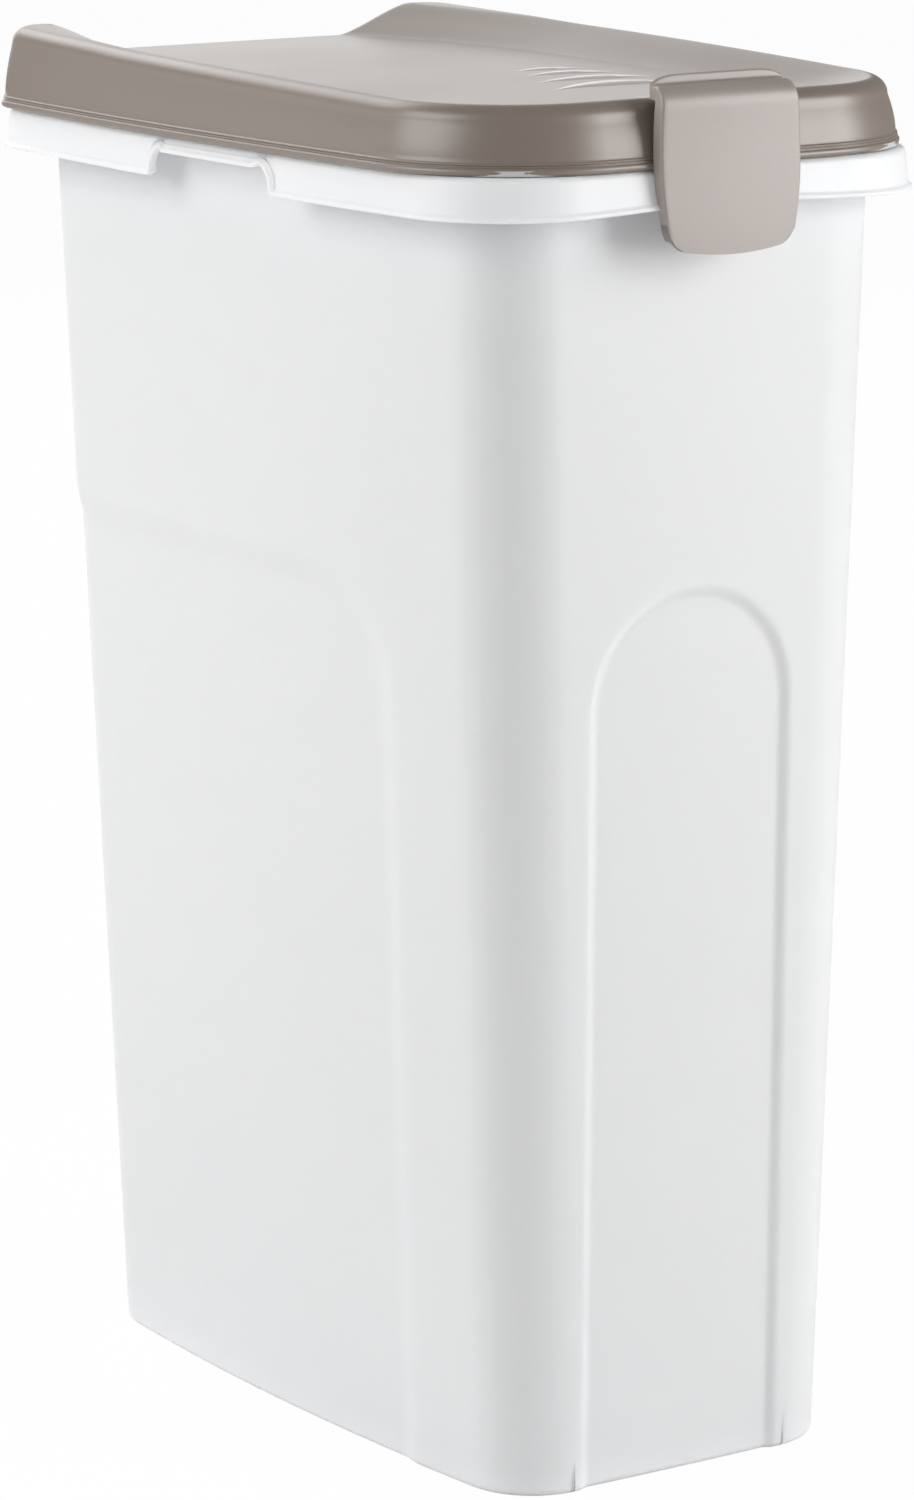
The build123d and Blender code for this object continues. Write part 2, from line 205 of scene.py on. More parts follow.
def tubWall(z, inset, pressed=True):
    # Tub wall at heights z, straight between the base plan and the mouth plan, moved in by the inset
    # and by the pressed panels' depth.
    low, lowN = ring(basePlan)
    high, _ = ring(mouthPlan)
    z = np.asarray(z, float)[:, None]
    p = blend(low[None], high[None], (z / mouthZ)[..., None])
    depth = np.asarray(inset, float)[:, None] + 0 * z
    if pressed:
        d = panelDistance(p[..., 0], p[..., 1], z)
        depth = depth + tub["panelDepth"] * smooth(0.5 - d / (2 * tub["panelSoft"]))
    p = p - lowN[None] * depth[..., None]
    return np.concatenate([p, z[..., None] + 0 * p[..., :1]], -1)


def rimEdge():
    # Lower edge of the skirt: its plan, its height, and the direction from it into the skirt. It is
    # level, runs up round corners into each grip window and along its top, and rises behind the latch.
    points, _ = ring(rimPlan)
    z = tub["skirtBottom"] + 0 * points[:, 0]
    into = np.stack([0 * z, 0 * z, 1 + 0 * z], 1)
    lower, upper, zone = grip["lower"], grip["upper"], grip["zone"]
    rise = grip["top"] - tub["skirtBottom"]
    onSide = np.abs(points[:, 0]) > grip["fromX"]
    sideR = bowRadius(rimPlan["halfLength"] - rimPlan["endBow"], rimPlan["sideBow"])
    for edgeY, sign in ((grip["front"], 1), (grip["back"], -1)):
        # Half a window as a path: level, lower corner, leg, upper corner, level
        start, end = edgeY - sign * zone, edgeY + sign * zone
        inside = onSide & (np.abs(points[:, 1] - edgeY) <= zone)
        parts = [zone - lower, lower * quarter, max(rise - lower - upper, 0), upper * quarter, zone - upper]
        s = (points[inside, 1] - start) / (end - start) * sum(parts)
        a = np.clip((s - parts[0]) / parts[1], 0, 1) * quarter
        b = np.clip((s - sum(parts[:3])) / parts[3], 0, 1) * quarter
        run = np.minimum(s, parts[0]) + lower * np.sin(a) + upper * (1 - np.cos(b))
        run = run + np.clip(s - sum(parts[:4]), 0, None)
        leg = np.clip(s - parts[0] - parts[1], 0, parts[2])
        points[inside, 1] = start + sign * run
        reach = rimPlan["halfWidth"] - sideR + np.sqrt(sideR ** 2 - points[inside, 1] ** 2)
        points[inside, 0] = np.sign(points[inside, 0]) * reach
        z[inside] = tub["skirtBottom"] + lower * (1 - np.cos(a)) + leg + upper * np.sin(b)
        into[inside, 1] = -sign * np.sin(a - b)
        into[inside, 2] = np.cos(a - b)
    z[onSide & (points[:, 1] > grip["front"] + zone) & (points[:, 1] < grip["back"] - zone)] = grip["top"]
    near = points[:, 1] < tub["latchLiftY"]
    z[near] += tub["latchLift"] * np.exp(-(points[near, 0] / tub["latchLiftWidth"]) ** 2)
    return points, z, into


def makeBin():
    # The bin as one closed skin, each row a loop round the plan: underside, outer wall, ledge, skirt
    # with its bead, rim top, inner wall and floor.
    base, baseN = ring(basePlan)
    rim, rimN = ring(rimPlan)
    edge, edgeZ, into = rimEdge()
    spine = spineOf(base, tub["spineReach"])
    under = mouthZ - tub["ledge"]
    inner, outer = tub["skirtInset"] + tub["flare"] * 0.9, tub["bead"] + tub["flare"]

    def skirtRow(inset, height):
        # Row of the skirt at a height above the lower edge, counted along the direction into the skirt
        place = edge - rimN * inset
        return np.stack([place[:, 0], place[:, 1] + into[:, 1] * height, edgeZ + into[:, 2] * height], 1)

    def rimRow(inset, z):
        return level(rim - rimN * inset, z)

    r = tub["footRound"]
    sole = base - baseN * (r + tub["panelDepth"])
    rows = [level(blend(spine, sole, share), 0) for share in (0, 0.3, 0.6, 0.85, 0.97)]
    turn = np.linspace(0, quarter, 6)
    rows.extend(tubWall(r * (1 - np.cos(turn)), r * (1 - np.sin(turn))))
    rows.extend(tubWall(tub["outerHeights"], 0 * tub["outerHeights"]))
    wallTop = tubWall([under], [0])[0][:, :2]
    rows.extend(level(blend(wallTop, rim - rimN * inner, share), under) for share in (0.08, 0.35, 0.7, 0.92))
    insideTop, insideHem = rimRow(inner, under - 1), skirtRow(tub["skirtInset"], tub["beadHeight"])
    rows.extend(blend(insideTop, insideHem, share) for share in (0, 0.35, 0.7, 1))
    rows.extend(skirtRow(inset, height) for inset, height in tub["hem"])
    r, top = tub["topRound"], tub["skirtTop"]
    outTop = rimRow(outer, top - r)
    rows.extend(blend(skirtRow(*tub["hem"][-1]), outTop, share) for share in (0.3, 0.65, 1))
    rows.extend(rimRow(outer + r * (1 - math.cos(a)), top - r * (1 - math.sin(a)))
                for a in np.linspace(0, quarter, 9)[1:])
    r, wall = tub["mouthRound"], tub["wall"]
    start, mouth = rows[-1][:, :2], tubWall([mouthZ], [wall - r])[0][:, :2]
    rows.extend(level(blend(start, mouth, share), mouthZ) for share in (0.3, 0.65, 1))
    turn = np.linspace(0, quarter, 4)[1:]
    rows.extend(tubWall(mouthZ - r * (1 - np.cos(turn)), wall - r * (1 - np.sin(turn)), False))
    rows.extend(tubWall(tub["innerHeights"], wall + 0 * tub["innerHeights"]))
    r, floor = tub["floorRound"], tub["floor"]
    turn = np.linspace(0, quarter, 6)[1:]
    rows.extend(tubWall(floor + r * (1 - np.sin(turn)), wall + r * (1 - np.cos(turn))))
    ringFloor = rows[-1][:, :2]
    rows.extend(level(blend(spine, ringFloor, share), floor) for share in (0.8, 0.5, 0.2, 0))
    return makeMesh("bin_shell", [(np.array(rows), False)])


# The lid. From backStart the well narrows to the back half width and its sides rise into two ears.
# The flange is the lower edge with its two fine lines, as inset and height above the bottom.
lid = dict(
    bottom=469.2, wallTopInset=4.4, wallStart=(1.4, 4.5), wallCurve=1.6, topInset=11.5, spineReach=85.0,
    ridgeFront=492.6, ridgeBack=499.2, ridgePower=1.3, ridgeInset=10.5, ridgeRound=6.0, ridgeHalfWidth=98.0,
    ridgeFrontY=-153.0, ridgeCorner=47.0, slopeStraight=0.65,
    wellHalfWidth=74.5, wellFrontY=-131.0, wellCorner=36.0, wellZ=486.5, wellRise=1.5, pillow=0.7,
    pillowReach=150.0, thickness=2.2, roofDrop=2.6, backStart=50.0, backHalfWidth=45.0,
    backRidgeHalfWidth=76.0, spigotInset=0.9, spigotWall=1.8, spigotDepth=9.0, spigotTop=474.0,
    sealInset=6.5, sealWidth=3.2, sealHeight=1.8, sealGap=0.02,
    flange=[(1.15, 4.15), (0.8, 3.95), (0.72, 3.75), (0.85, 3.55), (1.15, 3.42), (1.15, 3.3), (0.75, 3.15),
            (0.62, 2.95), (0.75, 2.78), (1.05, 2.65), (0.6, 2.4), (0.2, 1.95), (0.0, 1.35), (0.05, 0.8),
            (0.3, 0.3), (0.9, 0.0), (2.1, 0.0)])


def openDistance(x, y, halfWidth, frontY, r):
    # Signed distance to a plan that is round at the front corners and open at the back.
    px, py = np.abs(x) - (halfWidth - r), (frontY + r) - y
    outside = np.hypot(np.maximum(px, 0), np.maximum(py, 0))
    return outside + np.minimum(np.maximum(px, py), 0) - r


def lidTop(x, y):
    # Height of the lid's top: a slightly pillowed well, and a slope up to a ridge that rises towards
    # the back, where the well runs out between two ears.
    end = lidPlan["halfLength"]
    back = np.clip((y - lid["backStart"]) / (end - lid["backStart"]), 0, 1) ** 2
    wellHalf = blend(lid["wellHalfWidth"], lid["backHalfWidth"], back)
    ridgeHalf = blend(lid["ridgeHalfWidth"], lid["backRidgeHalfWidth"], back)
    out = np.maximum(openDistance(x, y, wellHalf, lid["wellFrontY"], lid["wellCorner"]), 0)
    inward = np.maximum(-openDistance(x, y, ridgeHalf, lid["ridgeFrontY"], lid["ridgeCorner"]), 0)
    share = out / np.maximum(out + inward, 1e-6)
    along = (y + end) / (2 * end)
    ridge = blend(lid["ridgeFront"], lid["ridgeBack"], np.clip(along, 0, 1) ** lid["ridgePower"])
    pillowX = 1 - np.clip(x / lid["wellHalfWidth"], -1, 1) ** 2
    pillowY = np.clip(1 - (y / lid["pillowReach"]) ** 2, 0, 1)
    well = lid["wellZ"] + lid["wellRise"] * smooth(along) + lid["pillow"] * pillowX * pillowY
    return well + (ridge - well) * blend(smooth(share), share, lid["slopeStraight"])


def makeLid():
    # The lid as one closed skin, each row a loop round the plan: well and slope, round ridge, drafted
    # wall, flange, seal groove, spigot and the well's underside.
    plan, planN = ring(lidPlan)
    mouth, mouthN = ring(mouthPlan)
    topEdge = plan - planN * lid["topInset"]
    spine = spineOf(topEdge, lid["spineReach"])

    def row(inset, z):
        return level(plan - planN * inset, z)

    def mouthRow(inset, z):
        return level(mouth - mouthN * inset, z)

    def topRow(share, drop):
        flat = spine + (topEdge - spine) * share
        return level(flat, lidTop(flat[:, 0], flat[:, 1]) - drop)

    rows = [topRow(share, 0) for share in np.concatenate([np.linspace(0, 0.46, 12), np.linspace(0.5, 1, 44)])]
    ridge = plan - planN * lid["ridgeInset"]
    r, top = lid["ridgeRound"], lid["wallTopInset"]
    wallTop = lidTop(ridge[:, 0], ridge[:, 1]) - r
    span = lid["ridgeInset"] - top
    rows.extend(row(top + span * (1 - math.cos(a)), wallTop + r * math.sin(a))
                for a in np.linspace(quarter, 0, 13))
    low = lid["bottom"]
    foot, footZ = lid["wallStart"][0], low + lid["wallStart"][1]
    rows.extend(row(foot + (top - foot) * share ** lid["wallCurve"], footZ + (wallTop - footZ) * share)
                for share in (0.88, 0.7, 0.5, 0.3, 0.12, 0.0))
    rows.extend(row(inset, low + rise) for inset, rise in lid["flange"])
    gap = lid["sealGap"]
    grooveIn, grooveOut = gap - lid["sealInset"], -lid["sealInset"] - lid["sealWidth"] - gap
    roof = low + lid["sealHeight"] + gap
    rows.extend([mouthRow(grooveOut, low), mouthRow(grooveOut, roof), mouthRow(grooveIn, roof),
                 mouthRow(grooveIn, low)])
    tip = low - lid["spigotDepth"]
    outer = tub["wall"] + lid["spigotInset"]
    inner = outer + lid["spigotWall"]
    for inset, z in ((outer - 0.5, low), (outer, low - 0.5), (outer + 0.1, tip + 0.5), (outer + 0.5, tip),
                     (inner - 0.3, tip), (inner + 0.2, tip + 0.5), (inner, lid["spigotTop"])):
        rows.append(mouthRow(inset, z))
    flat = mouth - mouthN * inner
    rows.append(level(flat, lidTop(flat[:, 0], flat[:, 1]) - lid["roofDrop"]))
    rows.extend(topRow(share, lid["thickness"]) for share in (0.77, 0.7, 0.6, 0.45, 0.3, 0.15, 0.0))
    return makeMesh("lid_shell", [(np.array(rows), False)])


# The latch: a channel section with cheeks, carried along a side path from its bottom over its top
clip = dict(
    halfWidth=29.5, faceY=-168.8, bottom=439.5, top=497.5, shoulder=8.0, reach=11.8, plate=2.0, cheek=2.0,
    cheekDepth=4.6, edge=1.1, edgeLeg=2.6, innerRound=1.6, crown=0.5, bow=3.2, corner=8.0, cornerFade=34.0,
    lean=1.2, barrel=0.085, widest=0.5, lipHeight=3.0, lipThickness=1.9, lipEnd=11.0, lipSunk=0.3,
    pathSteps=64)


def clipPath():
    # Side path of the latch's outer face, with the inward direction and the share of its length: up
    # the face, round the shoulder and back along the top.
    straight = clip["top"] - clip["shoulder"] - clip["bottom"]
    turn = clip["shoulder"] * quarter
    flat = clip["reach"] - clip["shoulder"]
    s = np.linspace(0, straight + turn + flat, clip["pathSteps"])
    a = np.clip((s - straight) / clip["shoulder"], 0, quarter)
    lean = clip["lean"] * smooth(s / straight) * smooth((s[-1] - s) / (turn + flat))
    y = clip["faceY"] + lean + clip["shoulder"] * (1 - np.cos(a)) + np.clip(s - straight - turn, 0, None)
    z = clip["bottom"] + np.minimum(s, straight) + clip["shoulder"] * np.sin(a)
    return y, z, np.stack([np.cos(a), -np.sin(a)], 1), s / s[-1]


def channel(half, depth, r, leg):
    # Section of one side of the latch's shallow channel: a leg, a round corner, across, and back out.
    arc = np.linspace(0, quarter, 7)
    across = np.linspace(r - half, half - r, 33)[1:-1]
    x = np.concatenate([[-half, -half], r * (1 - np.cos(arc)) - half, across, half - r + r * np.sin(arc),
                        [half, half]])
    d = np.concatenate([[clip["cheekDepth"], leg], depth + r * (1 - np.sin(arc)), depth + 0 * across,
                        depth + r * (1 - np.cos(arc)), [leg, clip["cheekDepth"]]])
    return x, d


def makeLip(width):
    # Lip across the latch's rear edge: a round-topped section whose peak falls along an ellipse to
    # nothing at both ends.
    x = np.linspace(-width, width, 81)
    over = np.clip(np.abs(x) - (width - clip["lipEnd"]), 0, clip["lipEnd"]) / clip["lipEnd"]
    peak = clip["lipHeight"] * np.sqrt(np.clip(1 - over ** 2, 0, 1))
    half, sunk = clip["lipThickness"] / 2, clip["lipSunk"]
    turn = np.linspace(0, math.pi, 11)
    middle = clip["faceY"] + clip["reach"] - half
    front = half + 0.8
    out = np.concatenate([[front, half + 0.3, half + 0.05], half * np.cos(turn), [-half, front]])
    rise = np.concatenate([[0, 0.12, 0.5], np.ones_like(turn)])
    cap = np.concatenate([[0, 0, 0], half * np.sin(turn)])
    z = clip["top"] - sunk + rise[None] * np.maximum(peak - half + sunk, 0.1)[:, None] + cap[None]
    foot = np.full((len(x), 2), clip["top"] - clip["plate"] + 0.2)
    z = np.concatenate([z, foot], 1)
    return np.stack([x[:, None] + 0 * z, middle - out[None] + 0 * z, z], -1)


def makeClip():
    # The latch's plate: a slightly crowned channel carried along the side path, barrelled in width,
    # with its lower edge bowed and its lower corners rounded.
    half, cheek = clip["halfWidth"], clip["cheek"]
    outerX, outerD = channel(half, 0, clip["edge"], clip["edgeLeg"])
    outerD = outerD - clip["crown"] * np.clip(1 - (outerX / half) ** 2, 0, 1) + clip["crown"]
    r = clip["innerRound"]
    innerX, innerD = channel(half - cheek, clip["plate"], r, clip["plate"] + r)
    tipX = np.array([half - 0.5, half - cheek + 0.5])
    tipD = clip["cheekDepth"] + np.array([0.35, 0.35])
    loopX = np.concatenate([outerX, tipX, -innerX, -tipX[::-1]])
    loopD = np.concatenate([outerD, tipD, innerD, tipD])
    y, z, inward, share = clipPath()
    r = clip["corner"]
    over = np.clip(np.abs(loopX) - (half - r), 0, r)
    lift = clip["bow"] * (loopX / half) ** 2 + r - np.sqrt(np.maximum(r ** 2 - over ** 2, 0))
    keep = np.clip(1 - (z - clip["bottom"]) / clip["cornerFade"], 0, 1)
    narrow = 1 - clip["barrel"] * np.clip((share - clip["widest"]) / 0.5, -1, 1) ** 2
    placeY = y[:, None] + inward[:, :1] * loopD[None]
    placeZ = z[:, None] + inward[:, 1:] * loopD[None] + keep[:, None] * lift[None]
    plate = np.stack([loopX[None] * narrow[:, None], placeY, placeZ], -1)
    return makeMesh("latch_plate", [(plate, False), (makeLip(half * narrow[-1]), False)], sharp=50)


print("shapes")
binShell = makeBin()
lidShell = makeLid()
clipPlate = makeClip()
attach(binShell, "bin")
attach(lidShell, "lid")
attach(clipPlate, "latch")


# Crescent ribs on the well behind the latch: both ends of each, its bow, width and height. The
# section is the place across the width and the share of the height.
marks = dict(
    ribs=[((19.0, -10.5), (48.0, -11.5), 3.7, 3.4, 0.8), ((14.0, -25.5), (50.5, -27.0), 4.2, 4.0, 0.95),
          ((5.5, -46.0), (52.5, -47.0), 4.8, 5.0, 1.15), ((-5.0, -70.0), (50.5, -68.0), 6.2, 6.4, 1.4),
          ((-13.0, -118.0), (24.0, -114.0), 3.5, 5.0, 1.1)],
    section=[(0.5, 0.1), (0.42, 0.8), (0.3, 1.0), (-0.36, 0.45), (-0.42, 0.1), (-0.5, 0.0), (0.5, 0.0)],
    sunkPoints=2, sunk=0.6, steps=44, taper=0.8, lowEnd=0.55)


def makeMarks():
    # Each rib follows a parabola between its ends, is pointed at both, and slopes down to a small drop
    # along its front.
    across, rise = np.array(marks["section"]).T
    drop = marks["sunk"] * (np.arange(len(rise)) >= len(rise) - marks["sunkPoints"])
    t = np.linspace(0.004, 0.996, marks["steps"])
    taper = np.sin(math.pi * t) ** marks["taper"]
    grids = []
    for start, end, bow, width, height in marks["ribs"]:
        start, run = np.array(start), np.subtract(end, start)
        back = np.array([-run[1], run[0]]) / np.linalg.norm(run)
        middle = start + t[:, None] * run + back * (4 * bow * t * (1 - t))[:, None]
        tall = height * taper * blend(marks["lowEnd"], 1, t)
        flat = middle[:, None] + back * (across[None] * (width * taper)[:, None])[..., None]
        z = lidTop(flat[..., 0], flat[..., 1]) + tall[:, None] * rise[None] - drop
        grids.append((np.concatenate([flat, z[..., None]], -1), False))
    return makeMesh("well_crescents", grids, sharp=40)


def ringPoints(y, z, radius, count=40):
    # Circle in the plane of Y and Z.
    a = np.linspace(0, 2 * math.pi, count, endpoint=False)
    return np.stack([y + radius * np.cos(a), z + radius * np.sin(a)], 1)


def shrink(outline, middle, bevel):
    # Outline pulled towards its middle by the bevel at its furthest point.
    return middle + (outline - middle) * (1 - bevel / np.abs(outline - middle).max())


def carried(outlines):
    # Grid of (outline, x) pairs, each outline a loop of Y and Z at one X.
    return np.array([np.concatenate([0 * o[:, :1] + x, o], 1) for o, x in outlines])


def prism(outline, low, high, bevel=0.3):
    # Solid with one outline between two X values, its ends a little smaller.
    outline = np.asarray(outline, float)
    small = shrink(outline, outline.mean(0), bevel)
    return carried([(small, low), (outline, low + bevel), (outline, high - bevel), (small, high)]), False


def sleeve(outer, inner, low, high, bevel=0.35):
    # Ring between two outlines with equally many points, with its outer end edges taken off.
    small = shrink(outer, inner.mean(0), bevel)
    outlines = [(inner, low), (small, low), (outer, low + bevel), (outer, high - bevel), (small, high),
                (inner, high)]
    return carried(outlines), True


# Hinge: pins between lugs on the rim, closed hooks on the lid. The lug's corners are Y and Z.
hinge = dict(
    y=175.0, z=462.0, x=52.0, pinRadius=3.0, pinSunk=1.0, boreRadius=3.06, hookRadius=5.6, hookHalf=13.0,
    hookTop=472.2, tieFront=159.0, tieRear=180.0, tieBottom=469.25, tieTop=472.1, tieSide=0.1, lugGap=0.4,
    lugWidth=4.0,
    lug=[(162.6, 464.2), (162.6, 456.0), (176.5, 456.0), (178.6, 457.7), (179.5, 460.2), (179.5, 463.6),
         (178.7, 464.2)])


def makeHingePins():
    # Two pins, each between two lugs.
    start = hinge["hookHalf"] + hinge["lugGap"]
    pin = ringPoints(hinge["y"], hinge["z"], hinge["pinRadius"])
    grids = []
    for centre in (-hinge["x"], hinge["x"]):
        for low in (-start - hinge["lugWidth"], start):
            grids.append(prism(hinge["lug"], centre + low, centre + low + hinge["lugWidth"], 0.35))
        reach = start + hinge["pinSunk"]
        grids.append(prism(pin, centre - reach, centre + reach, 0.1))
    return makeMesh("hinge_pins", grids, sharp=35)


def makeLidHooks():
    # Two hooks, round below the pin and square above it, each with a tie forward to the lid's wall.
    a = np.linspace(0, 2 * math.pi, 96, endpoint=False)
    turn = np.stack([np.cos(a), np.sin(a)], 1)
    sideways, up = np.maximum(np.abs(turn), 1e-6).T
    square = np.minimum(hinge["hookRadius"] / sideways, (hinge["hookTop"] - hinge["z"]) / up)
    reach = np.where(turn[:, 1] > 0, square, hinge["hookRadius"])
    middle = np.array([hinge["y"], hinge["z"]])
    outer, inner = middle + turn * reach[:, None], middle + turn * hinge["boreRadius"]
    tie = [(hinge["tieFront"], hinge["tieTop"]), (hinge["tieFront"], hinge["tieBottom"]),
           (hinge["tieRear"], hinge["tieBottom"]), (hinge["tieRear"], hinge["tieTop"])]
    tieHalf = hinge["hookHalf"] - hinge["tieSide"]
    grids = []
    for centre in (-hinge["x"], hinge["x"]):
        grids.append(sleeve(outer, inner, centre - hinge["hookHalf"], centre + hinge["hookHalf"]))
        grids.append(prism(tie, centre - tieHalf, centre + tieHalf))
    return makeMesh("lid_hooks", grids, sharp=35)


# Latch pivot: a bar between ears on the lid's ridge, a knuckle under the latch, and the latch's catch
# as corners in Y and Z
pivot = dict(
    y=-158.8, z=493.6, barRadius=1.2, barSunk=1.0, knuckleBore=1.26, knuckleRadius=2.2, knuckleHalf=14.0,
    earRadius=1.55, earWidth=2.6, earGap=0.4, earFoot=487.0, catchHalf=22.0,
    catch=[(-167.4, 453.4), (-167.4, 445.6), (-165.8, 448.6), (-163.5, 451.2), (-163.0, 452.7),
           (-163.7, 453.4)])


def makeLatchBar():
    # The bar, and an ear with a round top at each end of it.
    y, z, r = pivot["y"], pivot["z"], pivot["earRadius"]
    start = pivot["knuckleHalf"] + pivot["earGap"]
    reach = start + pivot["barSunk"]
    grids = [prism(ringPoints(y, z, pivot["barRadius"], 28), -reach, reach, 0.1)]
    a = np.linspace(0, math.pi, 15)
    top = np.stack([y + r * np.cos(a), z + r * np.sin(a)], 1)
    ear = np.concatenate([top, [(y - r, pivot["earFoot"]), (y + r, pivot["earFoot"])]])
    for low in (-start - pivot["earWidth"], start):
        grids.append(prism(ear, low, low + pivot["earWidth"], 0.2))
    return makeMesh("latch_bar", grids, sharp=35)


def makeLatchWorks():
    # Knuckle under the latch's top, and the catch that goes under the rim.
    outer = ringPoints(pivot["y"], pivot["z"], pivot["knuckleRadius"], 36)
    inner = ringPoints(pivot["y"], pivot["z"], pivot["knuckleBore"], 36)
    knuckle = sleeve(outer, inner, -pivot["knuckleHalf"], pivot["knuckleHalf"], 0.2)
    catch = prism(pivot["catch"], -pivot["catchHalf"], pivot["catchHalf"], 0.6)
    return makeMesh("latch_works", [knuckle, catch], sharp=35)


hingePins = makeHingePins()
lidHooks = makeLidHooks()
latchBar = makeLatchBar()
latchWorks = makeLatchWorks()
crescents = makeMarks()
for piece, body, slot in ((hingePins, "bin", "frosted_body"), (lidHooks, "lid", "taupe_lid"),
                          (latchBar, "lid", "taupe_lid"), (crescents, "lid", "taupe_lid"),
                          (latchWorks, "latch", "taupe_latch")):
    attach(piece, body)
print("working parts")


# Finishes: two tones of each plastic, its roughness, and the scale and strength of its grain
finishes = dict(
    frosted_plastic=dict(dark=(0.872, 0.884, 0.92), light=(0.912, 0.924, 0.958), roughness=0.42,
                         grainScale=900, bump=0.12, subsurface=1.0, spread=0.005),
    taupe_plastic=dict(dark=(0.192, 0.150, 0.124), light=(0.250, 0.203, 0.172), roughness=0.37,
                       grainScale=1500, bump=0.22, specular=1.0),
    taupe_latch_plastic=dict(dark=(0.29, 0.247, 0.223), light=(0.37, 0.322, 0.294), roughness=0.40,
                             grainScale=1500, bump=0.2, specular=0.9),
    # The crescent ribs' tone is far paler than the lid's taupe: a painted highlight on the ribs, with a lower
    # roughness
    taupe_painted_highlight=dict(dark=(0.60, 0.56, 0.54), light=(0.68, 0.65, 0.63), roughness=0.25, grainScale=1500,
                        bump=0.02, specular=1.0),
    seal_rubber=dict(dark=(0.55, 0.55, 0.55), light=(0.62, 0.62, 0.62), roughness=0.55,
                     grainScale=700, bump=0.1))

# How the grain shows: the shares of speckle and cloud in the tone, the swing of the roughness, and
# the grain's depth in metres
grainMix = dict(speckle=0.55, cloud=0.45, roughnessSwing=0.05, depth=0.0001)


def nodesOf(name):
    # New material with its nodes, links and main shader.
    material = bpy.data.materials.new(name)
    material.use_nodes = True
    nodes, links = material.node_tree.nodes, material.node_tree.links
    return material, nodes, links, nodes["Principled BSDF"]


def mathNode(nodes, operation, factor):
    # Math node whose second input is a fixed factor.
    node = nodes.new("ShaderNodeMath")
    node.operation = operation
    node.inputs[1].default_value = factor
    return node


def grainGroup():
    # Fine moulded grain: a height and a speckle from a fine noise, and a cloud from a coarse one.
    group = bpy.data.node_groups.new("mouldGrain", "ShaderNodeTree")
    face = group.interface
    for name, value in (("Grain Scale", 1500), ("Cloud Scale", 12)):
        face.new_socket(name, in_out="INPUT", socket_type="NodeSocketFloat").default_value = value
    for name in ("Height", "Speckle", "Cloud"):
        face.new_socket(name, in_out="OUTPUT", socket_type="NodeSocketFloat")
    nodes, links = group.nodes, group.links
    start, end = nodes.new("NodeGroupInput"), nodes.new("NodeGroupOutput")
    place = nodes.new("ShaderNodeTexCoord")
    for scale, detail, results in (("Grain Scale", 3, ("Height", "Speckle")), ("Cloud Scale", 2, ("Cloud",))):
        noise = nodes.new("ShaderNodeTexNoise")
        noise.inputs["Detail"].default_value = detail
        links.new(place.outputs["Object"], noise.inputs["Vector"])
        links.new(start.outputs[scale], noise.inputs["Scale"])
        for result in results:
            links.new(noise.outputs["Fac"], end.inputs[result])
    return group


grain = grainGroup()


def mouldedPlastic(name, dark, light, roughness, grainScale, bump, specular=0.5, subsurface=0.0, spread=0.0):
    # Moulded plastic: tone is dark to light by speckle and cloud together, roughness shifts with the
    # cloud, and the grain's height gives a faint bump.
    material, nodes, links, shader = nodesOf(name)
    source = nodes.new("ShaderNodeGroup")
    source.node_tree = grain
    source.inputs["Grain Scale"].default_value = grainScale
    cloud = mathNode(nodes, "MULTIPLY", grainMix["cloud"])
    both = mathNode(nodes, "MULTIPLY_ADD", grainMix["speckle"])
    tone = nodes.new("ShaderNodeMix")
    tone.data_type = "RGBA"
    tone.inputs["A"].default_value = (*dark, 1)
    tone.inputs["B"].default_value = (*light, 1)
    links.new(source.outputs["Cloud"], cloud.inputs[0])
    links.new(source.outputs["Speckle"], both.inputs[0])
    links.new(cloud.outputs[0], both.inputs[2])
    links.new(both.outputs[0], tone.inputs["Factor"])
    links.new(tone.outputs["Result"], shader.inputs["Base Color"])
    rough = nodes.new("ShaderNodeMapRange")
    rough.inputs["To Min"].default_value = roughness - grainMix["roughnessSwing"]
    rough.inputs["To Max"].default_value = roughness + grainMix["roughnessSwing"]
    links.new(source.outputs["Cloud"], rough.inputs["Value"])
    links.new(rough.outputs["Result"], shader.inputs["Roughness"])
    relief = nodes.new("ShaderNodeBump")
    relief.inputs["Strength"].default_value = bump
    relief.inputs["Distance"].default_value = grainMix["depth"]
    links.new(source.outputs["Height"], relief.inputs["Height"])
    links.new(relief.outputs["Normal"], shader.inputs["Normal"])
    shader.inputs["Specular IOR Level"].default_value = specular
    if subsurface:
        shader.inputs["Subsurface Weight"].default_value = subsurface
        shader.inputs["Subsurface Radius"].default_value = (spread, spread, spread)
        shader.inputs["Subsurface Scale"].default_value = 1.0
    return material


frosted, taupe, taupeLatch, taupePaintedHighlight, sealRubber = (
    mouldedPlastic(name, **values) for name, values in finishes.items())
# The crescent ribs take the pale tone, a painted highlight on the lid's taupe
for obj, material in ((binShell, frosted), (hingePins, frosted), (lidShell, taupe), (lidHooks, taupe),
                      (latchBar, taupe), (crescents, taupePaintedHighlight), (clipPlate, taupeLatch),
                      (latchWorks, taupeLatch)):
    obj.data.materials.append(material)
for node, material in (("lid_seal", sealRubber), ("bin_body", frosted), ("lid", taupe),
                       ("latch_clip", taupeLatch)):
    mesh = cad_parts[node].data
    mesh.materials.clear()
    mesh.materials.append(material)
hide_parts("bin_body")
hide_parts("lid")
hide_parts("latch_clip")
print("materials")


# Camera: angles in degrees, distances in metres and the lens, as fitted to the photograph
view = dict(azimuth=-34.036, elevation=11.871, roll=-0.124, distance=2.1898, target=0.227, sideways=0.0003,
            up=0.0113, focalPixels=5931.5, tallPixels=1500, sensor=36.0)


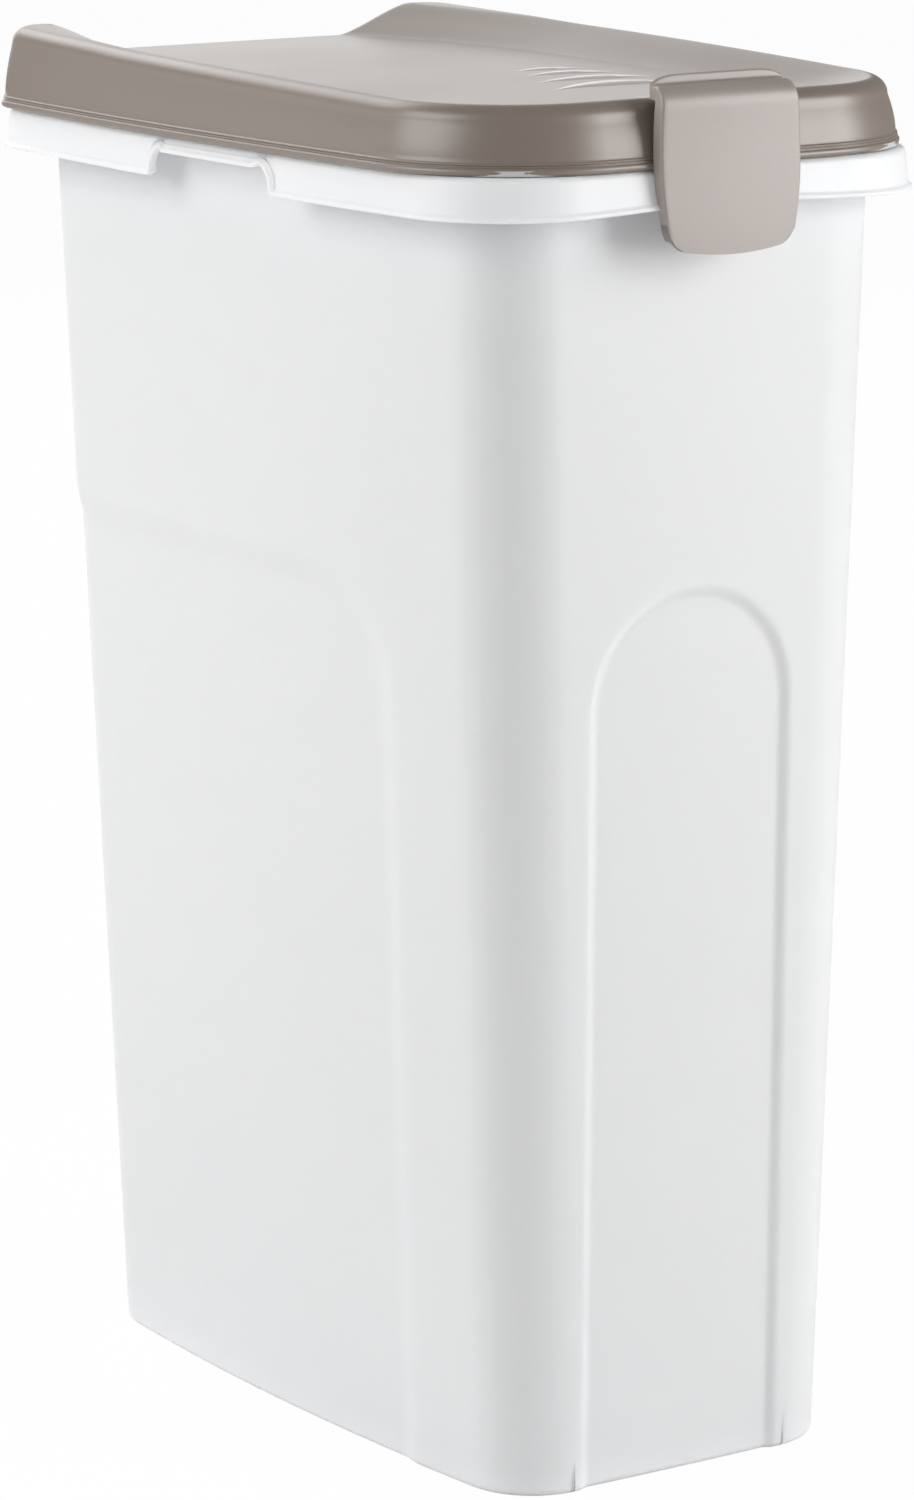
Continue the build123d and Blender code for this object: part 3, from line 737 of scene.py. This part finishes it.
def makeCamera():
    # The camera looks back along its direction from the target, then shifts in its own plane.
    az, el, roll = (math.radians(view[k]) for k in ("azimuth", "elevation", "roll"))
    back = Vector((math.sin(az) * math.cos(el), -math.cos(az) * math.cos(el), math.sin(el)))
    right = (-back).cross(Vector((0, 0, 1))).normalized()
    up = right.cross(-back)
    right, up = right * math.cos(roll) + up * math.sin(roll), up * math.cos(roll) - right * math.sin(roll)
    data = bpy.data.cameras.new("camera")
    data.sensor_width = view["sensor"]
    data.lens = view["focalPixels"] / view["tallPixels"] * view["sensor"]
    camera = bpy.data.objects.new("camera", data)
    camera.matrix_world = Matrix((right, up, back)).transposed().to_4x4()
    target = Vector((0, 0, view["target"]))
    camera.location = back * view["distance"] + target + right * view["sideways"] + up * view["up"]
    bpy.context.scene.collection.objects.link(camera)
    bpy.context.scene.camera = camera


# White studio: each lamp's place, what it points at, its size and its power in watts
studio = dict(
    floorHalf=12.0, floorTone=0.86, floorRoughness=0.9, floorGlow=0.97, worldStrength=0.26,
    lamps=dict(
        keyRight=((1.75, -1.95, 0.9), (0, -0.1, 0.3), (1.5, 1.7), 49),
        sideLeft=((-2.3, 0.3, 1.5), (0, 0, 0.28), (2.0, 1.8), 37),
        sheenLeft=((-1.6, 2.0, 0.6), (0, 0, 0.3), (1.2, 1.2), 4),
        topBack=((-0.3, 1.9, 2.0), (0, 0, 0.48), (1.7, 1.2), 17),
        backSoft=((0.9, 2.7, 1.35), (0, 0, 0.35), (2.4, 1.9), 21)))


def softLight(name, place, target, size, power):
    # Rectangular lamp turned towards its target.
    data = bpy.data.lights.new(name, "AREA")
    data.shape = "RECTANGLE"
    data.size, data.size_y = size
    data.energy = power
    lamp = bpy.data.objects.new(name, data)
    lamp.location = place
    lamp.rotation_euler = (Vector(target) - Vector(place)).to_track_quat("-Z", "Y").to_euler()
    bpy.context.scene.collection.objects.link(lamp)


def makeStage():
    # A floor that looks white to the camera but keeps the shadow, a white world and the soft lamps.
    mesh = bpy.data.meshes.new("floor")
    r = studio["floorHalf"]
    mesh.from_pydata([(-r, -r, 0), (r, -r, 0), (r, r, 0), (-r, r, 0)], [], [(0, 1, 2, 3)])
    floor = bpy.data.objects.new("floor", mesh)
    bpy.context.scene.collection.objects.link(floor)
    material, nodes, links, shader = nodesOf("floor_white")
    shader.inputs["Base Color"].default_value = (*[studio["floorTone"]] * 3, 1)
    shader.inputs["Roughness"].default_value = studio["floorRoughness"]
    glow, mix = nodes.new("ShaderNodeEmission"), nodes.new("ShaderNodeMixShader")
    path = nodes.new("ShaderNodeLightPath")
    share = mathNode(nodes, "MULTIPLY", studio["floorGlow"])
    links.new(path.outputs["Is Camera Ray"], share.inputs[0])
    links.new(share.outputs[0], mix.inputs[0])
    links.new(shader.outputs[0], mix.inputs[1])
    links.new(glow.outputs[0], mix.inputs[2])
    links.new(mix.outputs[0], nodes["Material Output"].inputs["Surface"])
    mesh.materials.append(material)
    world = bpy.data.worlds.new("studio")
    bpy.context.scene.world = world
    world.use_nodes = True
    background = world.node_tree.nodes["Background"]
    background.inputs["Color"].default_value = (1, 1, 1, 1)
    background.inputs["Strength"].default_value = studio["worldStrength"]
    for name, values in studio["lamps"].items():
        softLight(name, *values)


makeCamera()
makeStage()
bpy.context.scene.view_settings.view_transform = "Standard"
print("stage")
